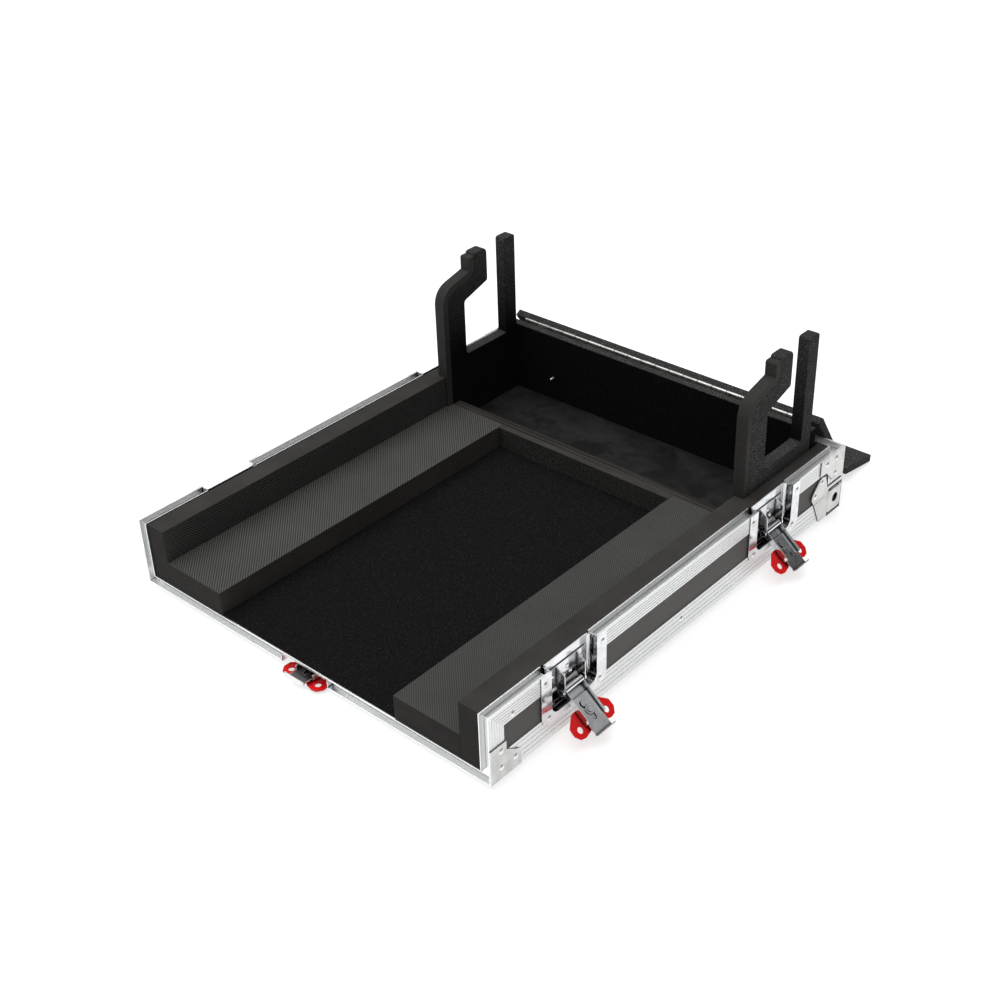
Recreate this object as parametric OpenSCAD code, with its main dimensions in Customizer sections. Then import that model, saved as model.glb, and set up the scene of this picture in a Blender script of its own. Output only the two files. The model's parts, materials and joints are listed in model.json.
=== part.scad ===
// Flight case base for a mixing console: an open-fronted tray with foam ledges,
// two rear uprights, a fold-out rear cover and five recessed butterfly latches.
// Millimetres, +Z up, +Y to the rear. The origin is on the ground, at the middle
// of the case's footprint.

/* [Case] */
// Width across the side walls
case_w = 584; // [560:1:700]
// Depth from the front opening to the rear wall
case_d = 700; // [680:1:820]
// Height of the walls above the underside of the floor panel
wall_h = 92; // [88:1:100]
// Thickness of the plywood panels
ply_t = 11.6; // [11.5:0.1:14]
// Height of the rubber feet
foot_h = 11; // [10:0.5:20]
// Radius of a foot where it meets the floor panel
foot_r = 19; // [14:0.5:24]
// Distance of the feet from the sides and ends of the case
foot_inset = 66; // [60:1:90]

/* [Aluminium] */
// Sheet thickness of the extrusions
skin_t = 1.2; // [0.8:0.1:1.6]
// Depth of the groove that takes the lid's tongue
groove_d = 8; // [6:0.5:10]
// Width of the rim's outer flange, from the lip down
rim_flange = 24; // [20:1:30]
// Length of the rim's inner leg below the groove
rim_leg = 6; // [3:0.5:10]
// Width of each leg of the edge angles
edge_w = 33; // [30:0.5:36]
// Depth of the fine lines rolled into the extrusions
line_d = 0.4; // [0.2:0.1:0.6]
// Width of those lines
line_w = 0.9; // [0.5:0.1:1.2]

/* [Corner fittings] */
// Thickness of the pressed corner fittings
fitting_t = 1.5; // [1:0.1:2]
// Width of a lower front bracket's upright arm
front_arm_w = 25.5; // [24:0.5:28]
// Length of a lower front bracket's upright arm
front_arm_len = 47.5; // [44:0.5:52]
// Width of an upper rear bracket's long arm
rear_arm_w = 22.5; // [20:0.5:24]
// Length of an upper rear bracket's long arm
rear_arm_len = 56; // [50:1:62]
// Spacing of a bracket's rivets
bracket_pitch = 22.6; // [21:0.1:23]
// Radius of the round end of a bracket's other arm
bracket_lobe = 10; // [8:0.5:10.5]
// Size of the raised ball of a lower rear corner
ball_w = 38; // [32:1:44]
// Height of the raised ball above the case's underside
ball_h = 46; // [40:1:50]
// How far the ball stands out of the walls
ball_out = 4; // [3:0.25:6]
// Radius of the round hole in the ball's side
ball_hole_r = 6.75; // [4:0.25:8]

/* [Foam and carpet] */
// Thickness of the foam on the side walls
side_foam_t = 30; // [20:1:40]
// How far the side foam stays below the rim
foam_drop = 1; // [0.5:0.5:4]
// Width of the foam ledges
ledge_w = 100; // [60:1:130]
// Height of the ledges above the underside of the floor panel
ledge_h = 45; // [30:1:60]
// Thickness of the embossed top layer of a ledge
ledge_top_t = 10; // [6:0.5:16]
// How far the foam ends stay behind the front opening
foam_inset = 2; // [1:0.5:6]
// Thickness of the floor carpet
carpet_t = 2.5; // [1.5:0.1:5]
// Thickness of the pad in the cable bay
bay_pad_t = 3; // [2:0.5:8]
// Gap between neighbouring foam, carpet and board edges
edge_gap = 0.3; // [0.1:0.05:0.5]

/* [Cable bay] */
// Distance from the rear face of the case to the inner rear board
rear_gap = 22.5; // [20:0.5:30]
// Thickness of the inner rear board
board_t = 12.5; // [9:0.5:15]
// Height of the inner rear board above the underside of the floor panel
board_h = 118.4; // [105:0.1:125]
// Clear length of the cable bay
bay_len = 129.5; // [115:1:150]
// Thickness of the partition board
part_t = 14.3; // [9:0.1:18]
// Thickness of the embossed foam facings
facing_t = 10; // [6:0.5:12]

/* [Uprights] */
// Thickness of an upright with its carpet
upright_t = 17; // [12:0.5:22]
// Width of an upright's front arm
arm_w = 34; // [28:1:40]
// Width of the open gap behind the front arm
gap_w = 86; // [70:1:95]
// Height of the gap's floor above the underside of the floor panel
gap_floor = 112.5; // [100:0.5:125]
// Height where the front arm turns back
shoulder_h = 215.6; // [200:0.5:222]
// Slope of the arm's top
shoulder_a = 14; // [8:1:20]
// Radius of the shoulder
shoulder_r = 18; // [12:1:24]
// Distance from the upright's front to the front of its tip
tip_start = 56; // [50:1:60]
// Width of the tip
tip_w = 27.5; // [24:0.5:32]
// Radius of the fillet between the slope and the tip
tip_fillet = 14; // [6:1:16]
// Height of the arm's underside where it leaves the front arm
under_h = 195.5; // [180:0.5:200]
// Height of the arm's underside at the tip
under_tip_h = 211; // [202:0.5:216]
// Radius of the carpeted corners
soft_r = 5; // [2:0.5:6]

/* [Rear cover] */
// Thickness of a cover panel with its carpet
cover_t = 11; // [8:0.5:13]
// Width of the cover panels
cover_w = 526; // [480:1:540]
// Distance between the two hinge axes
cover_len = 140; // [130:0.5:150]
// Length of the outer panel from its hinge axis
flap_len = 72; // [60:1:85]
// Distance from the first hinge axis to the near face of the panel
cover_off = 2.5; // [2.3:0.1:3]
// Clearance where the cover lies on the corner brackets and over the uprights
cover_gap = 0.3; // [0.2:0.1:0.6]

/* [Hinges] */
// Radius of a hinge pin
pin_r = 1; // [0.8:0.1:1.1]
// Outer radius of the hinge knuckles
knuckle_r = 2.2; // [2:0.1:2.3]
// Radial clearance between a pin and its knuckles
pin_fit = 0.05; // [0.02:0.01:0.1]
// Thickness of a hinge leaf
leaf_t = 1.2; // [0.8:0.1:1.2]
// Width of a hinge leaf, from the hinge axis
leaf_w = 18; // [12:0.5:22]
// Length of a piano hinge
hinge_len = 480; // [440:10:480]
// Number of knuckles on each hinge, an even number
knuckle_n = 20; // [12:2:24]
// Gap between neighbouring knuckles
knuckle_gap = 0.4; // [0.3:0.1:0.6]

/* [Latch dishes] */
// Distance of the front side latches from the front opening
latch_front = 140; // [120:1:180]
// Distance of the rear side latches from the rear face
latch_rear = 163; // [150:1:200]
// Width of a dish's flange
dish_w = 112; // [106:1:120]
// Length of a dish's flange, from the rim down
dish_len = 70.3; // [68:0.1:74]
// Width of the recess
tray_w = 78; // [76:0.5:80]
// Length of the recess, from the rim down
tray_len = 62; // [61:0.5:63]
// Depth of a dish behind the case's outer face
tray_depth = 12.4; // [12:0.1:12.6]
// Radius of the lower corners of the recess
tray_r = 12; // [8:0.5:13]
// Radius of the lower corners of the flange
dish_r = 14; // [10:0.5:20]
// Radius between the back and the walls of the recess
press_r = 5; // [3:0.5:6]
// Space between a dish and the panel cut out for it
dish_gap = 0.8; // [0.3:0.1:1]

/* [Latch mechanism] */
// Distance from the rim to the latch rod
rod_down = 45; // [44:0.5:46]
// Depth of the rod behind the case's outer face
rod_in = 2.5; // [2:0.1:3]
// Radius of the rod
rod_r = 3; // [2.5:0.1:3.2]
// Radial clearance of turning latch parts
turn_fit = 0.05; // [0.02:0.01:0.1]
// Distance between the inner faces of the bracket's ears
ear_gap = 34; // [33:0.5:36]
// Width of the folded arm
lever_w = 30; // [29:0.5:31]
// Length of the folded arm from the rod
lever_len = 45; // [43:0.5:47]
// Depth of the arm's side walls behind the rod's axis
lever_wall = 3; // [1:0.25:3.5]
// Sheet thickness of the latch parts
latch_t = 1.2; // [1:0.1:1.3]
// Outer radius of the arm's knuckle on the rod
lever_knuckle_r = 4.6; // [4.4:0.1:4.8]
// Distance from the rod to the handle's pin
hub_at = 33; // [32.5:0.1:34]
// Radius of the handle's pin
hub_pin_r = 3; // [2.5:0.1:3.2]
// Distance from the rod to the end of the hook plate
hook_len = 61.4; // [58:0.1:64]
// Width of the hook plate between the arm's sides
hook_w = 26.4; // [25:0.1:27]
// Width of the hook's lip
lip_w = 32; // [28:0.5:34]
// Height of the hook's lip above the plate's outer face
lip_h = 6.3; // [5:0.1:7]
// How far the hook is drawn in by half a turn of the handle
hook_travel = 9.5; // [6:0.5:9.5]
// Sliding clearance of the latch plates
slide_gap = 0.1; // [0.05:0.05:0.15]
// Angle by which the side latches hang open
open_a = 130; // [125:1:132]
// Thickness of the handle's wings
wing_t = 1.8; // [1.4:0.1:2]
// Radius of the round hole in each wing
wing_hole_r = 4; // [3:0.25:4.5]
// Reach of the wing's widest corner across the arm
wing_reach = 34; // [30:0.5:34]

/* [Rivets] */
// Radius of a rivet head
rivet_r = 4; // [3:0.25:4.5]
// Height of a rivet head
rivet_h = 1.8; // [1.2:0.1:2]
// Radius of a rivet's shank
rivet_shank = 2; // [1.5:0.1:2.4]

/* [Hidden] */
$fn = 48;
e = 0.01;
big = 2000;

// Main planes: heights are above the underside of the floor panel
half_w = case_w / 2;
half_d = case_d / 2;
rim_t = ply_t + 2 * skin_t;
web = groove_d + skin_t;
ply_x = half_w - skin_t;
ply_y = half_d - skin_t;
lining_x = half_w - rim_t;
lining_y = half_d - rim_t;
lining_z = ply_t + skin_t;
foam_x = lining_x - side_foam_t;
foam_top = wall_h - foam_drop;
foam_front = -half_d + foam_inset;

// Cable bay, from the rear face forward
board_back = half_d - rear_gap;
board_front = board_back - board_t;
part_back = board_front - bay_len;
part_front = part_back - part_t;
facing_front = part_front - facing_t;
upright_x = foam_x - 3.5;
upright_len = board_front - part_front - edge_gap;
post_x = arm_w + gap_w;

// Rear cover: axis of the first hinge, and the angles at which it lies open, on the
// upper edges of the rear corner brackets
hinge_y = board_back + 2;
hinge_z = board_h + knuckle_r + 0.5;
rim_dy = half_d + fitting_t - hinge_y;
rim_dz = hinge_z - wall_h;
rim_dist = sqrt(rim_dy * rim_dy + rim_dz * rim_dz);
cover_a = atan2(rim_dz, rim_dy) + asin((cover_off - cover_gap) / rim_dist);
fold_off = cover_off + cover_t + 0.5;
fold_y = hinge_y + cover_len * cos(cover_a) + fold_off * sin(cover_a);
fold_z = hinge_z - cover_len * sin(cover_a) + fold_off * cos(cover_a);
flap_back = cover_t + 0.5;
flap_a = asin((fold_z + foot_h - cover_gap) / norm([flap_len, flap_back])) - atan2(flap_back, flap_len);
upright_h = hinge_z + cover_len + 0.5 - cover_gap;
knuckle_w = hinge_len / knuckle_n;

// Latch planes, in the latch's own frame
lever_floor = lever_knuckle_r - latch_t;
hook_top = lever_floor - slide_gap;
hook_under = hook_top - latch_t - 0.2;
washer_t = 1;
wing_z = lever_knuckle_r + 1.9;
ear_r = rod_r + 1.4;
bracket_back = -tray_depth + skin_t + slide_gap;
side_latches = [-half_d + latch_front, half_d - latch_rear];

// Puts a child's x, y and z axes on the given directions
module on_axes(o, x, y, z) {
  w = cross(x, y);
  multmatrix([
    [x[0], y[0], w[0], o[0]],
    [x[1], y[1], w[1], o[1]],
    [x[2], y[2], w[2], o[2]],
    [0, 0, 0, 1]
  ]) {
    if (w * z < 0) mirror([0, 0, 1]) children();
    else children();
  }
}

// Lifts the case off the ground by the height of its feet
module lift() { translate([0, 0, foot_h]) children(); }

// Keeps a pair of parts, one on each side of the case
module both_sides() {
  children();
  mirror([1, 0, 0]) children();
}

// Points of an arc from angle a0 to a1 about c
function arc(c, r, a0, a1, n = 8) =
  [for (i = [0:n]) c + r * [cos(a0 + (a1 - a0) * i / n), sin(a0 + (a1 - a0) * i / n)]];

// A box between two corners
module box(lo, hi) { translate(lo) cube(hi - lo); }

// Everything on the near side of a 45 degree cut through a bar's end
module mitre_x() { rotate([0, -45, 0]) translate([-big, -big, -2 * big]) cube(2 * big); }
module mitre_y() { rotate([45, 0, 0]) translate([-big, -big, -2 * big]) cube(2 * big); }

// Rim section: x runs in from the outer face, y down from the lips
module rim_section() {
  difference() {
    union() {
      square([skin_t, rim_flange]);
      translate([0, groove_d]) square([rim_t, skin_t]);
      translate([rim_t - skin_t, 0]) square([skin_t, web + rim_leg]);
    }
    for (k = [0.2, 0.36, 0.52, 0.68, 0.84])
      translate([-e, k * rim_flange]) square([line_d + e, line_w]);
  }
}

// Edge angle section: x runs in from one outer face, y from the other
module angle_section() {
  difference() {
    union() {
      square([skin_t, edge_w]);
      square([edge_w, skin_t]);
    }
    for (k = [0.25, 0.45, 0.65, 0.85]) {
      translate([-e, k * edge_w]) square([line_d + e, line_w]);
      translate([k * edge_w, -e]) square([line_w, line_d + e]);
    }
  }
}

// A bar of rim or angle, its ends cut square, or mitred in x or y
module bar(len, start = "", finish = "") {
  difference() {
    linear_extrude(len) children();
    if (start == "x") mitre_x();
    if (start == "y") mitre_y();
    if (finish == "x") translate([0, 0, len]) mirror([0, 0, 1]) mitre_x();
  }
}

// Places for the latches: x across, y towards the rim, z out of the case
module at_right_latch(y) { translate([half_w, y, wall_h]) rotate([90, 0, 90]) children(); }
module at_front_latch() { translate([0, -half_d, -skin_t]) rotate([180, 0, 0]) children(); }
module at_all_latches() {
  both_sides() for (y = side_latches) at_right_latch(y) children();
  at_front_latch() children();
}

// Room for a dish through the rim, the edge and the panel
module dish_cutout(depth = tray_depth + dish_gap) {
  side = tray_w / 2 + skin_t + dish_gap;
  low = -tray_len - skin_t - dish_gap;
  box([-side, low, -depth], [side, rim_flange, e]);
}
module dish_cutouts() { at_all_latches() dish_cutout(); }

// Plywood
module floor_panel() {
  color("tan") lift() difference() {
    box([-ply_x, -half_d + web, 0], [ply_x, ply_y, ply_t]);
    dish_cutouts();
  }
}
module side_panel() {
  lift() difference() {
    box([ply_x - ply_t, -half_d + web, ply_t], [ply_x, ply_y - ply_t, wall_h - web]);
    dish_cutouts();
  }
}
module side_panel_left() { color("dimgray") mirror([1, 0, 0]) side_panel(); }
module side_panel_right() { color("dimgray") side_panel(); }
module rear_panel() {
  color("dimgray") lift()
    box([-ply_x, ply_y - ply_t, ply_t], [ply_x, ply_y, wall_h - web]);
}

// Aluminium edging
module edge_angle() {
  lift() difference() {
    on_axes([half_w, -half_d + rim_flange, -skin_t], [-1, 0, 0], [0, 0, 1], [0, 1, 0])
      bar(case_d - rim_flange, "", "x") angle_section();
    dish_cutouts();
  }
}
module edge_angle_left() { color("silver") mirror([1, 0, 0]) edge_angle(); }
module edge_angle_right() { color("silver") edge_angle(); }
module edge_angle_rear() {
  color("silver") lift()
    on_axes([-half_w, half_d, -skin_t], [0, -1, 0], [0, 0, 1], [1, 0, 0])
      bar(case_w, "x", "x") angle_section();
}
module rear_corner_angles() {
  color("silver") lift() both_sides()
    on_axes([half_w, half_d, edge_w - skin_t], [-1, 0, 0], [0, -1, 0], [0, 0, 1])
      bar(wall_h - rim_flange - edge_w + skin_t) angle_section();
}

// Grooved rim that takes the lid, in three lengths between the latches of a side
module rim_side() {
  lift() difference() {
    on_axes([half_w, -half_d, wall_h], [-1, 0, 0], [0, 0, -1], [0, 1, 0])
      bar(case_d, "y", "x") rim_section();
    for (y = side_latches) at_right_latch(y) dish_cutout(rim_t + e);
  }
}
module rim_left() { color("silver") mirror([1, 0, 0]) rim_side(); }
module rim_right() { color("silver") rim_side(); }
module rim_rear() {
  color("silver") lift()
    on_axes([-half_w, half_d, wall_h], [0, -1, 0], [0, 0, -1], [1, 0, 0])
      bar(case_w, "x", "x") rim_section();
}
module rim_front_posts() {
  color("silver") lift() both_sides() difference() {
    on_axes([half_w, -half_d, -skin_t], [-1, 0, 0], [0, 1, 0], [0, 0, 1])
      bar(wall_h + skin_t, "x") rim_section();
    translate([0, -half_d, wall_h]) mirror([0, 0, 1]) mitre_y();
  }
}
module rim_floor() {
  color("silver") lift() difference() {
    on_axes([-half_w, -half_d, -skin_t], [0, 0, 1], [0, 1, 0], [1, 0, 0])
      bar(case_w, "x", "x") rim_section();
    dish_cutouts();
  }
}

// Corner bracket: its arm along y ends square, its arm along x in a round lobe
front_rivet = [17, 15.5];
rear_rivet = [10.4, 18.6];
function bracket_rivets(at) = [at, at + [bracket_pitch, 0], at + [0, bracket_pitch]];
module rivet_holes(places, t) {
  for (p = places) translate([p[0], p[1], -e]) cylinder(r = rivet_shank + edge_gap, h = t + 2 * e);
}
module bracket_plate(w, len, at) {
  lobe = at + [bracket_pitch, 0];
  difference() {
    linear_extrude(fitting_t) {
      square([w, len]);
      square([lobe[0] + 0.97 * bracket_lobe, lobe[1]]);
      translate(lobe) circle(bracket_lobe);
      polygon([[0, 0], [w, 0.75 * len], lobe + bracket_lobe * [0.5, 0.75], [lobe[0], 0]]);
    }
    rivet_holes(bracket_rivets(at), fitting_t);
  }
}
module at_front_bracket() {
  on_axes([half_w, -half_d, -skin_t], [0, 1, 0], [0, 0, 1], [1, 0, 0]) children();
}
module at_rear_bracket_side() {
  on_axes([half_w, half_d, wall_h], [0, 0, -1], [0, -1, 0], [1, 0, 0]) children();
}
module at_rear_bracket_back() {
  on_axes([half_w, half_d, wall_h], [0, 0, -1], [-1, 0, 0], [0, 1, 0]) children();
}
module front_corner_brackets() {
  color("lightgray") lift() both_sides() at_front_bracket()
    bracket_plate(front_arm_w, front_arm_len, front_rivet);
}
module corner_fold(low, high, w = 8) {
  translate([half_w, half_d, low]) linear_extrude(high - low)
    polygon([[-w, 0], [0, 0], [0, -w], [fitting_t, -w], [fitting_t, fitting_t], [-w, fitting_t]]);
}
module rear_corner_brackets() {
  color("lightgray") lift() both_sides() {
    at_rear_bracket_side() bracket_plate(rear_arm_w, rear_arm_len, rear_rivet);
    at_rear_bracket_back() bracket_plate(rear_arm_w, rear_arm_len, rear_rivet);
    corner_fold(wall_h - rear_rivet[0] - bracket_pitch - 0.97 * bracket_lobe, wall_h);
  }
}

// Ball corner flange: x runs forward from the corner, y up from the underside
ball_rivets = [[50.5, 60], [65.5, 45.2]];
ball_reach = 50.5;
module ball_flange() {
  pad = 8;
  difference() {
    linear_extrude(fitting_t) difference() {
      union() {
        polygon([[0, -fitting_t], [ball_reach, -fitting_t], [66, 32], [71.5, 39.5], [71.5, 50.5],
          [56.5, 65.5], [42.5, 66.5], [36, ball_h], [0, ball_h]]);
        for (p = ball_rivets) translate(p) circle(pad);
      }
      translate([ball_w, 0.72 * ball_h]) square([ball_w, 0.8]);
    }
    rivet_holes(ball_rivets, fitting_t);
  }
}
module at_ball_side() {
  on_axes([half_w, half_d, -skin_t], [0, -1, 0], [0, 0, 1], [1, 0, 0]) children();
}
module at_ball_back() {
  on_axes([half_w, half_d, -skin_t], [-1, 0, 0], [0, 0, 1], [0, 1, 0]) children();
}
module ball_body() {
  r = 11;
  difference() {
    translate([half_w - ball_w, half_d - ball_w, -skin_t - fitting_t]) hull()
      for (x = [r, ball_w + ball_out - r], y = [r, ball_w + ball_out - r], z = [r, ball_h - r])
        translate([x, y, z]) sphere(r, $fn = 24);
    box([0, 0, -skin_t], [half_w, half_d, ball_h + big]);
    at_ball_side() translate([18, 23.5, -e]) cylinder(r = ball_hole_r, h = ball_out + 2 * e);
  }
}
module ball_corner() {
  lift() {
    at_ball_side() ball_flange();
    at_ball_back() ball_flange();
    corner_fold(-skin_t - fitting_t, ball_h - skin_t);
    ball_body();
    translate([half_w, half_d, -skin_t - fitting_t]) linear_extrude(fitting_t)
      polygon([[fitting_t, fitting_t], [-ball_reach, fitting_t], [-ball_reach, -25], [-25, -ball_reach],
        [fitting_t, -ball_reach]]);
  }
}
module ball_corner_left() { color("lightgray") mirror([1, 0, 0]) ball_corner(); }
module ball_corner_right() { color("lightgray") ball_corner(); }

// Rubber feet, each with a recess for its screw
module rubber_feet() {
  color("black")
    for (x = [-1, 1], y = [-1, 1])
      translate([x * (half_w - foot_inset), y * (half_d - foot_inset), 0])
        rotate_extrude() polygon([[8, 0], [foot_r - 3, 0], [foot_r - 2, 1], [foot_r, foot_h],
          [0, foot_h], [0, 3], [8, 3]]);
}

// Rivets
module rivet() {
  cap_r = (rivet_r * rivet_r + rivet_h * rivet_h) / (2 * rivet_h);
  intersection() {
    translate([0, 0, rivet_h - cap_r]) sphere(cap_r);
    cylinder(r = rivet_r, h = rivet_h + 1);
  }
}
module sheet_rivet(t) {
  translate([0, 0, t]) rivet();
  cylinder(r = rivet_shank, h = t + e);
}
dish_rivets = [[49.3, -12.5], [44, -62.5], [-49.3, -12.5], [-44, -62.5]];
bracket_screws = [[0, 23], [-5.5, 13], [6, 13], [-24, 22], [24, 22]];
module latch_rivets() {
  for (p = dish_rivets) translate([p[0], p[1], 0]) sheet_rivet(skin_t);
  for (p = bracket_screws)
    translate([p[0], p[1] - rod_down, bracket_back + latch_t + e]) scale(0.8) rivet();
}
module rivets() {
  color("silver") lift() {
    at_all_latches() latch_rivets();
    both_sides() {
      for (p = bracket_rivets(front_rivet))
        at_front_bracket() translate([p[0], p[1], 0]) sheet_rivet(fitting_t);
      for (p = bracket_rivets(rear_rivet)) {
        at_rear_bracket_side() translate([p[0], p[1], 0]) sheet_rivet(fitting_t);
        at_rear_bracket_back() translate([p[0], p[1], 0]) sheet_rivet(fitting_t);
      }
      for (p = ball_rivets) {
        at_ball_side() translate([p[0], p[1], 0]) sheet_rivet(fitting_t);
        at_ball_back() translate([p[0], p[1], 0]) sheet_rivet(fitting_t);
      }
      at_front_bracket() {
        translate([38.5, wall_h + skin_t - 0.75 * rim_flange, 0]) rivet();
        translate([half_d - 8, 0.6 * edge_w, 0]) rivet();
      }
    }
  }
}

// Carpet and foam, with a step over the rim along the front edge
module over_rim() {
  difference() {
    children();
    box([-half_w, -half_d, -skin_t], [half_w, -half_d + web + rim_leg + edge_gap, lining_z]);
  }
}
module floor_carpet() {
  color([0.08, 0.08, 0.08]) lift() over_rim()
    box([-foam_x + ledge_w + edge_gap, foam_front, ply_t],
      [foam_x - ledge_w - edge_gap, facing_front - edge_gap, ply_t + carpet_t]);
}
module side_foam() {
  lift() over_rim() translate([0, 0, ply_t]) linear_extrude(foam_top - ply_t) {
    polygon([
      [foam_x, foam_front], [lining_x, foam_front],
      [lining_x, part_front - edge_gap],
      [upright_x + upright_t + edge_gap, part_front - edge_gap],
      [upright_x + upright_t + edge_gap, facing_front - edge_gap],
      [foam_x, facing_front - edge_gap]
    ]);
  }
}
module side_foam_left() { color([0.2, 0.2, 0.2]) mirror([1, 0, 0]) side_foam(); }
module side_foam_right() { color([0.2, 0.2, 0.2]) side_foam(); }
module ledge_outline() {
  polygon([
    [foam_x - ledge_w, foam_front], [foam_x - edge_gap, foam_front],
    [foam_x - edge_gap, facing_front - edge_gap],
    [upright_x - edge_gap, facing_front - edge_gap],
    [upright_x - edge_gap, part_front - edge_gap],
    [foam_x - ledge_w, part_front - edge_gap]
  ]);
}
module ledge_foam() {
  lift() over_rim() {
    translate([0, 0, ply_t]) linear_extrude(ledge_h - ledge_top_t - ply_t - edge_gap / 3) ledge_outline();
    translate([0, 0, ledge_h - ledge_top_t]) linear_extrude(ledge_top_t) ledge_outline();
  }
}
module ledge_foam_left() { color([0.25, 0.25, 0.25]) mirror([1, 0, 0]) ledge_foam(); }
module ledge_foam_right() { color([0.25, 0.25, 0.25]) ledge_foam(); }
module rear_foam_strips() {
  color([0.2, 0.2, 0.2]) lift() both_sides()
    box([upright_x + upright_t + edge_gap, part_front, ply_t], [lining_x, lining_y, foam_top]);
}

// Partition between the mixer's bay and the cable bay
module partition_board() {
  color([0.15, 0.15, 0.15]) lift()
    box([-upright_x + edge_gap, part_front, ply_t], [upright_x - edge_gap, part_back, ledge_h]);
}
module partition_foam() {
  color([0.25, 0.25, 0.25]) lift()
    box([-foam_x + ledge_w + edge_gap, facing_front, ply_t],
      [foam_x - ledge_w - edge_gap, part_front, ledge_h]);
}
module bay_pad() {
  color([0.12, 0.12, 0.12]) lift()
    box([-upright_x + edge_gap, part_back + edge_gap, ply_t],
      [upright_x - edge_gap, board_front - edge_gap, ply_t + bay_pad_t]);
}

// Upright outline: x runs back from the upright's front face, y up
slope = tan(shoulder_a);
turn = 90 - shoulder_a;
function slope_h(x) = shoulder_h + x * slope;
function shoulder_arc(off) =
  let (r = shoulder_r + off, h = slope_h(-off) + off / cos(shoulder_a) - r * tan(turn / 2))
  arc([-off + r, h], r, 180, 180 - turn, 10);
function fillet_arc(x) =
  let (h = slope_h(x) + tip_fillet * tan(turn / 2))
  arc([x - tip_fillet, h], tip_fillet, -turn, 0, 8);
module upright_outline() {
  tip_end = tip_start + tip_w;
  union() {
    polygon(concat(
      [[0, ply_t]],
      shoulder_arc(0),
      fillet_arc(tip_start),
      arc([tip_start + soft_r, upright_h - soft_r], soft_r, 180, 90, 4),
      arc([tip_end - 1.6 * soft_r, upright_h - 1.6 * soft_r], 1.6 * soft_r, 90, 0, 6),
      [[tip_end, under_tip_h + 2], [tip_end - 2, under_tip_h - 0.5]],
      arc([arm_w + soft_r, under_h - 0.7 * soft_r], soft_r, 107, 180, 4),
      arc([arm_w + soft_r, gap_floor + soft_r], soft_r, 180, 270, 4),
      arc([post_x - soft_r, gap_floor + soft_r], soft_r, 270, 360, 4),
      arc([post_x + 0.8 * soft_r, upright_h - 0.8 * soft_r], 0.8 * soft_r, 180, 90, 4),
      arc([upright_len - 0.8 * soft_r, upright_h - 0.8 * soft_r], 0.8 * soft_r, 90, 0, 4),
      [[upright_len, ply_t]]
    ));
  }
}
module stand_up() {
  lift() on_axes([upright_x, part_front, 0], [0, 1, 0], [0, 0, 1], [1, 0, 0])
    linear_extrude(upright_t) children();
}
module upright_left() { color([0.12, 0.12, 0.12]) mirror([1, 0, 0]) stand_up() upright_outline(); }
module upright_right() { color([0.12, 0.12, 0.12]) stand_up() upright_outline(); }
module facing_outline() {
  crease_x = tip_start - facing_t;
  facing_h = upright_h - 4;
  difference() {
    polygon(concat(
      [[-facing_t, ply_t]],
      shoulder_arc(facing_t),
      [[crease_x, slope_h(crease_x) + facing_t / cos(shoulder_a)],
       [crease_x, facing_h - 2], [crease_x + 2, facing_h], [tip_start + 1, facing_h],
       [tip_start + 1, slope_h(tip_start)], [shoulder_r, shoulder_h - shoulder_r], [1, ply_t]]
    ));
    upright_outline();
  }
}
module upright_facing_left() { color([0.3, 0.3, 0.3]) mirror([1, 0, 0]) stand_up() facing_outline(); }
module upright_facing_right() { color([0.3, 0.3, 0.3]) stand_up() facing_outline(); }

// Inner rear board
module rear_board() {
  color([0.1, 0.1, 0.1]) lift()
    box([-upright_x - upright_t, board_front, ply_t], [upright_x + upright_t, board_back, board_h]);
}

// Piano hinge: knuckles along x, the leaf runs from the axis along +y, under the axis
module hinge_leaf(first, face) {
  reach = knuckle_r + 0.4;
  difference() {
    union() {
      box([-hinge_len / 2, reach, face], [hinge_len / 2, leaf_w, face + leaf_t]);
      for (i = [first:2:knuckle_n - 1]) {
        x = -hinge_len / 2 + i * knuckle_w + knuckle_gap / 2;
        translate([x, 0, 0]) rotate([0, 90, 0]) cylinder(r = knuckle_r, h = knuckle_w - knuckle_gap, $fn = 32);
        box([x, 0, face], [x + knuckle_w - knuckle_gap, reach + e, face + leaf_t]);
      }
    }
    translate([-hinge_len, 0, 0]) rotate([0, 90, 0]) cylinder(r = pin_r + pin_fit, h = 2 * hinge_len, $fn = 32);
  }
}
module hinge_pin() {
  translate([-hinge_len / 2, 0, 0]) rotate([0, 90, 0]) cylinder(r = pin_r, h = hinge_len, $fn = 32);
}
leaf_low = -cover_off + 0.05;
module cover_hinge_fixed() {
  color("silver") lift() translate([0, hinge_y, hinge_z]) {
    on_axes([0, 0, 0], [1, 0, 0], [0, 0, -1], [0, 1, 0])
      hinge_leaf(0, board_back - hinge_y);
    hinge_pin();
  }
}

// Frames of the cover panels at rest: y along the panel, z out of its inner face
module at_cover() { lift() translate([0, hinge_y, hinge_z]) rotate([-cover_a, 0, 0]) children(); }
module at_fold() { lift() translate([0, fold_y, fold_z]) children(); }
module cover_panel() {
  color([0.13, 0.13, 0.13]) at_cover()
    box([-cover_w / 2, knuckle_r + 0.6, cover_off], [cover_w / 2, cover_len - knuckle_r - 0.8, cover_off + cover_t]);
}
module cover_hinge_moving() {
  color("silver") at_cover() hinge_leaf(1, cover_off - leaf_t);
}
module fold_hinge_cover() {
  color("silver") at_fold() rotate([-cover_a, 0, 0]) {
    mirror([0, 1, 0]) hinge_leaf(0, -0.5);
    hinge_pin();
  }
}
module flap_panel() {
  color([0.13, 0.13, 0.13]) at_fold() rotate([-flap_a, 0, 0])
    box([-cover_w / 2, knuckle_r + 0.8, -flap_back], [cover_w / 2, flap_len, -0.5]);
}
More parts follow.
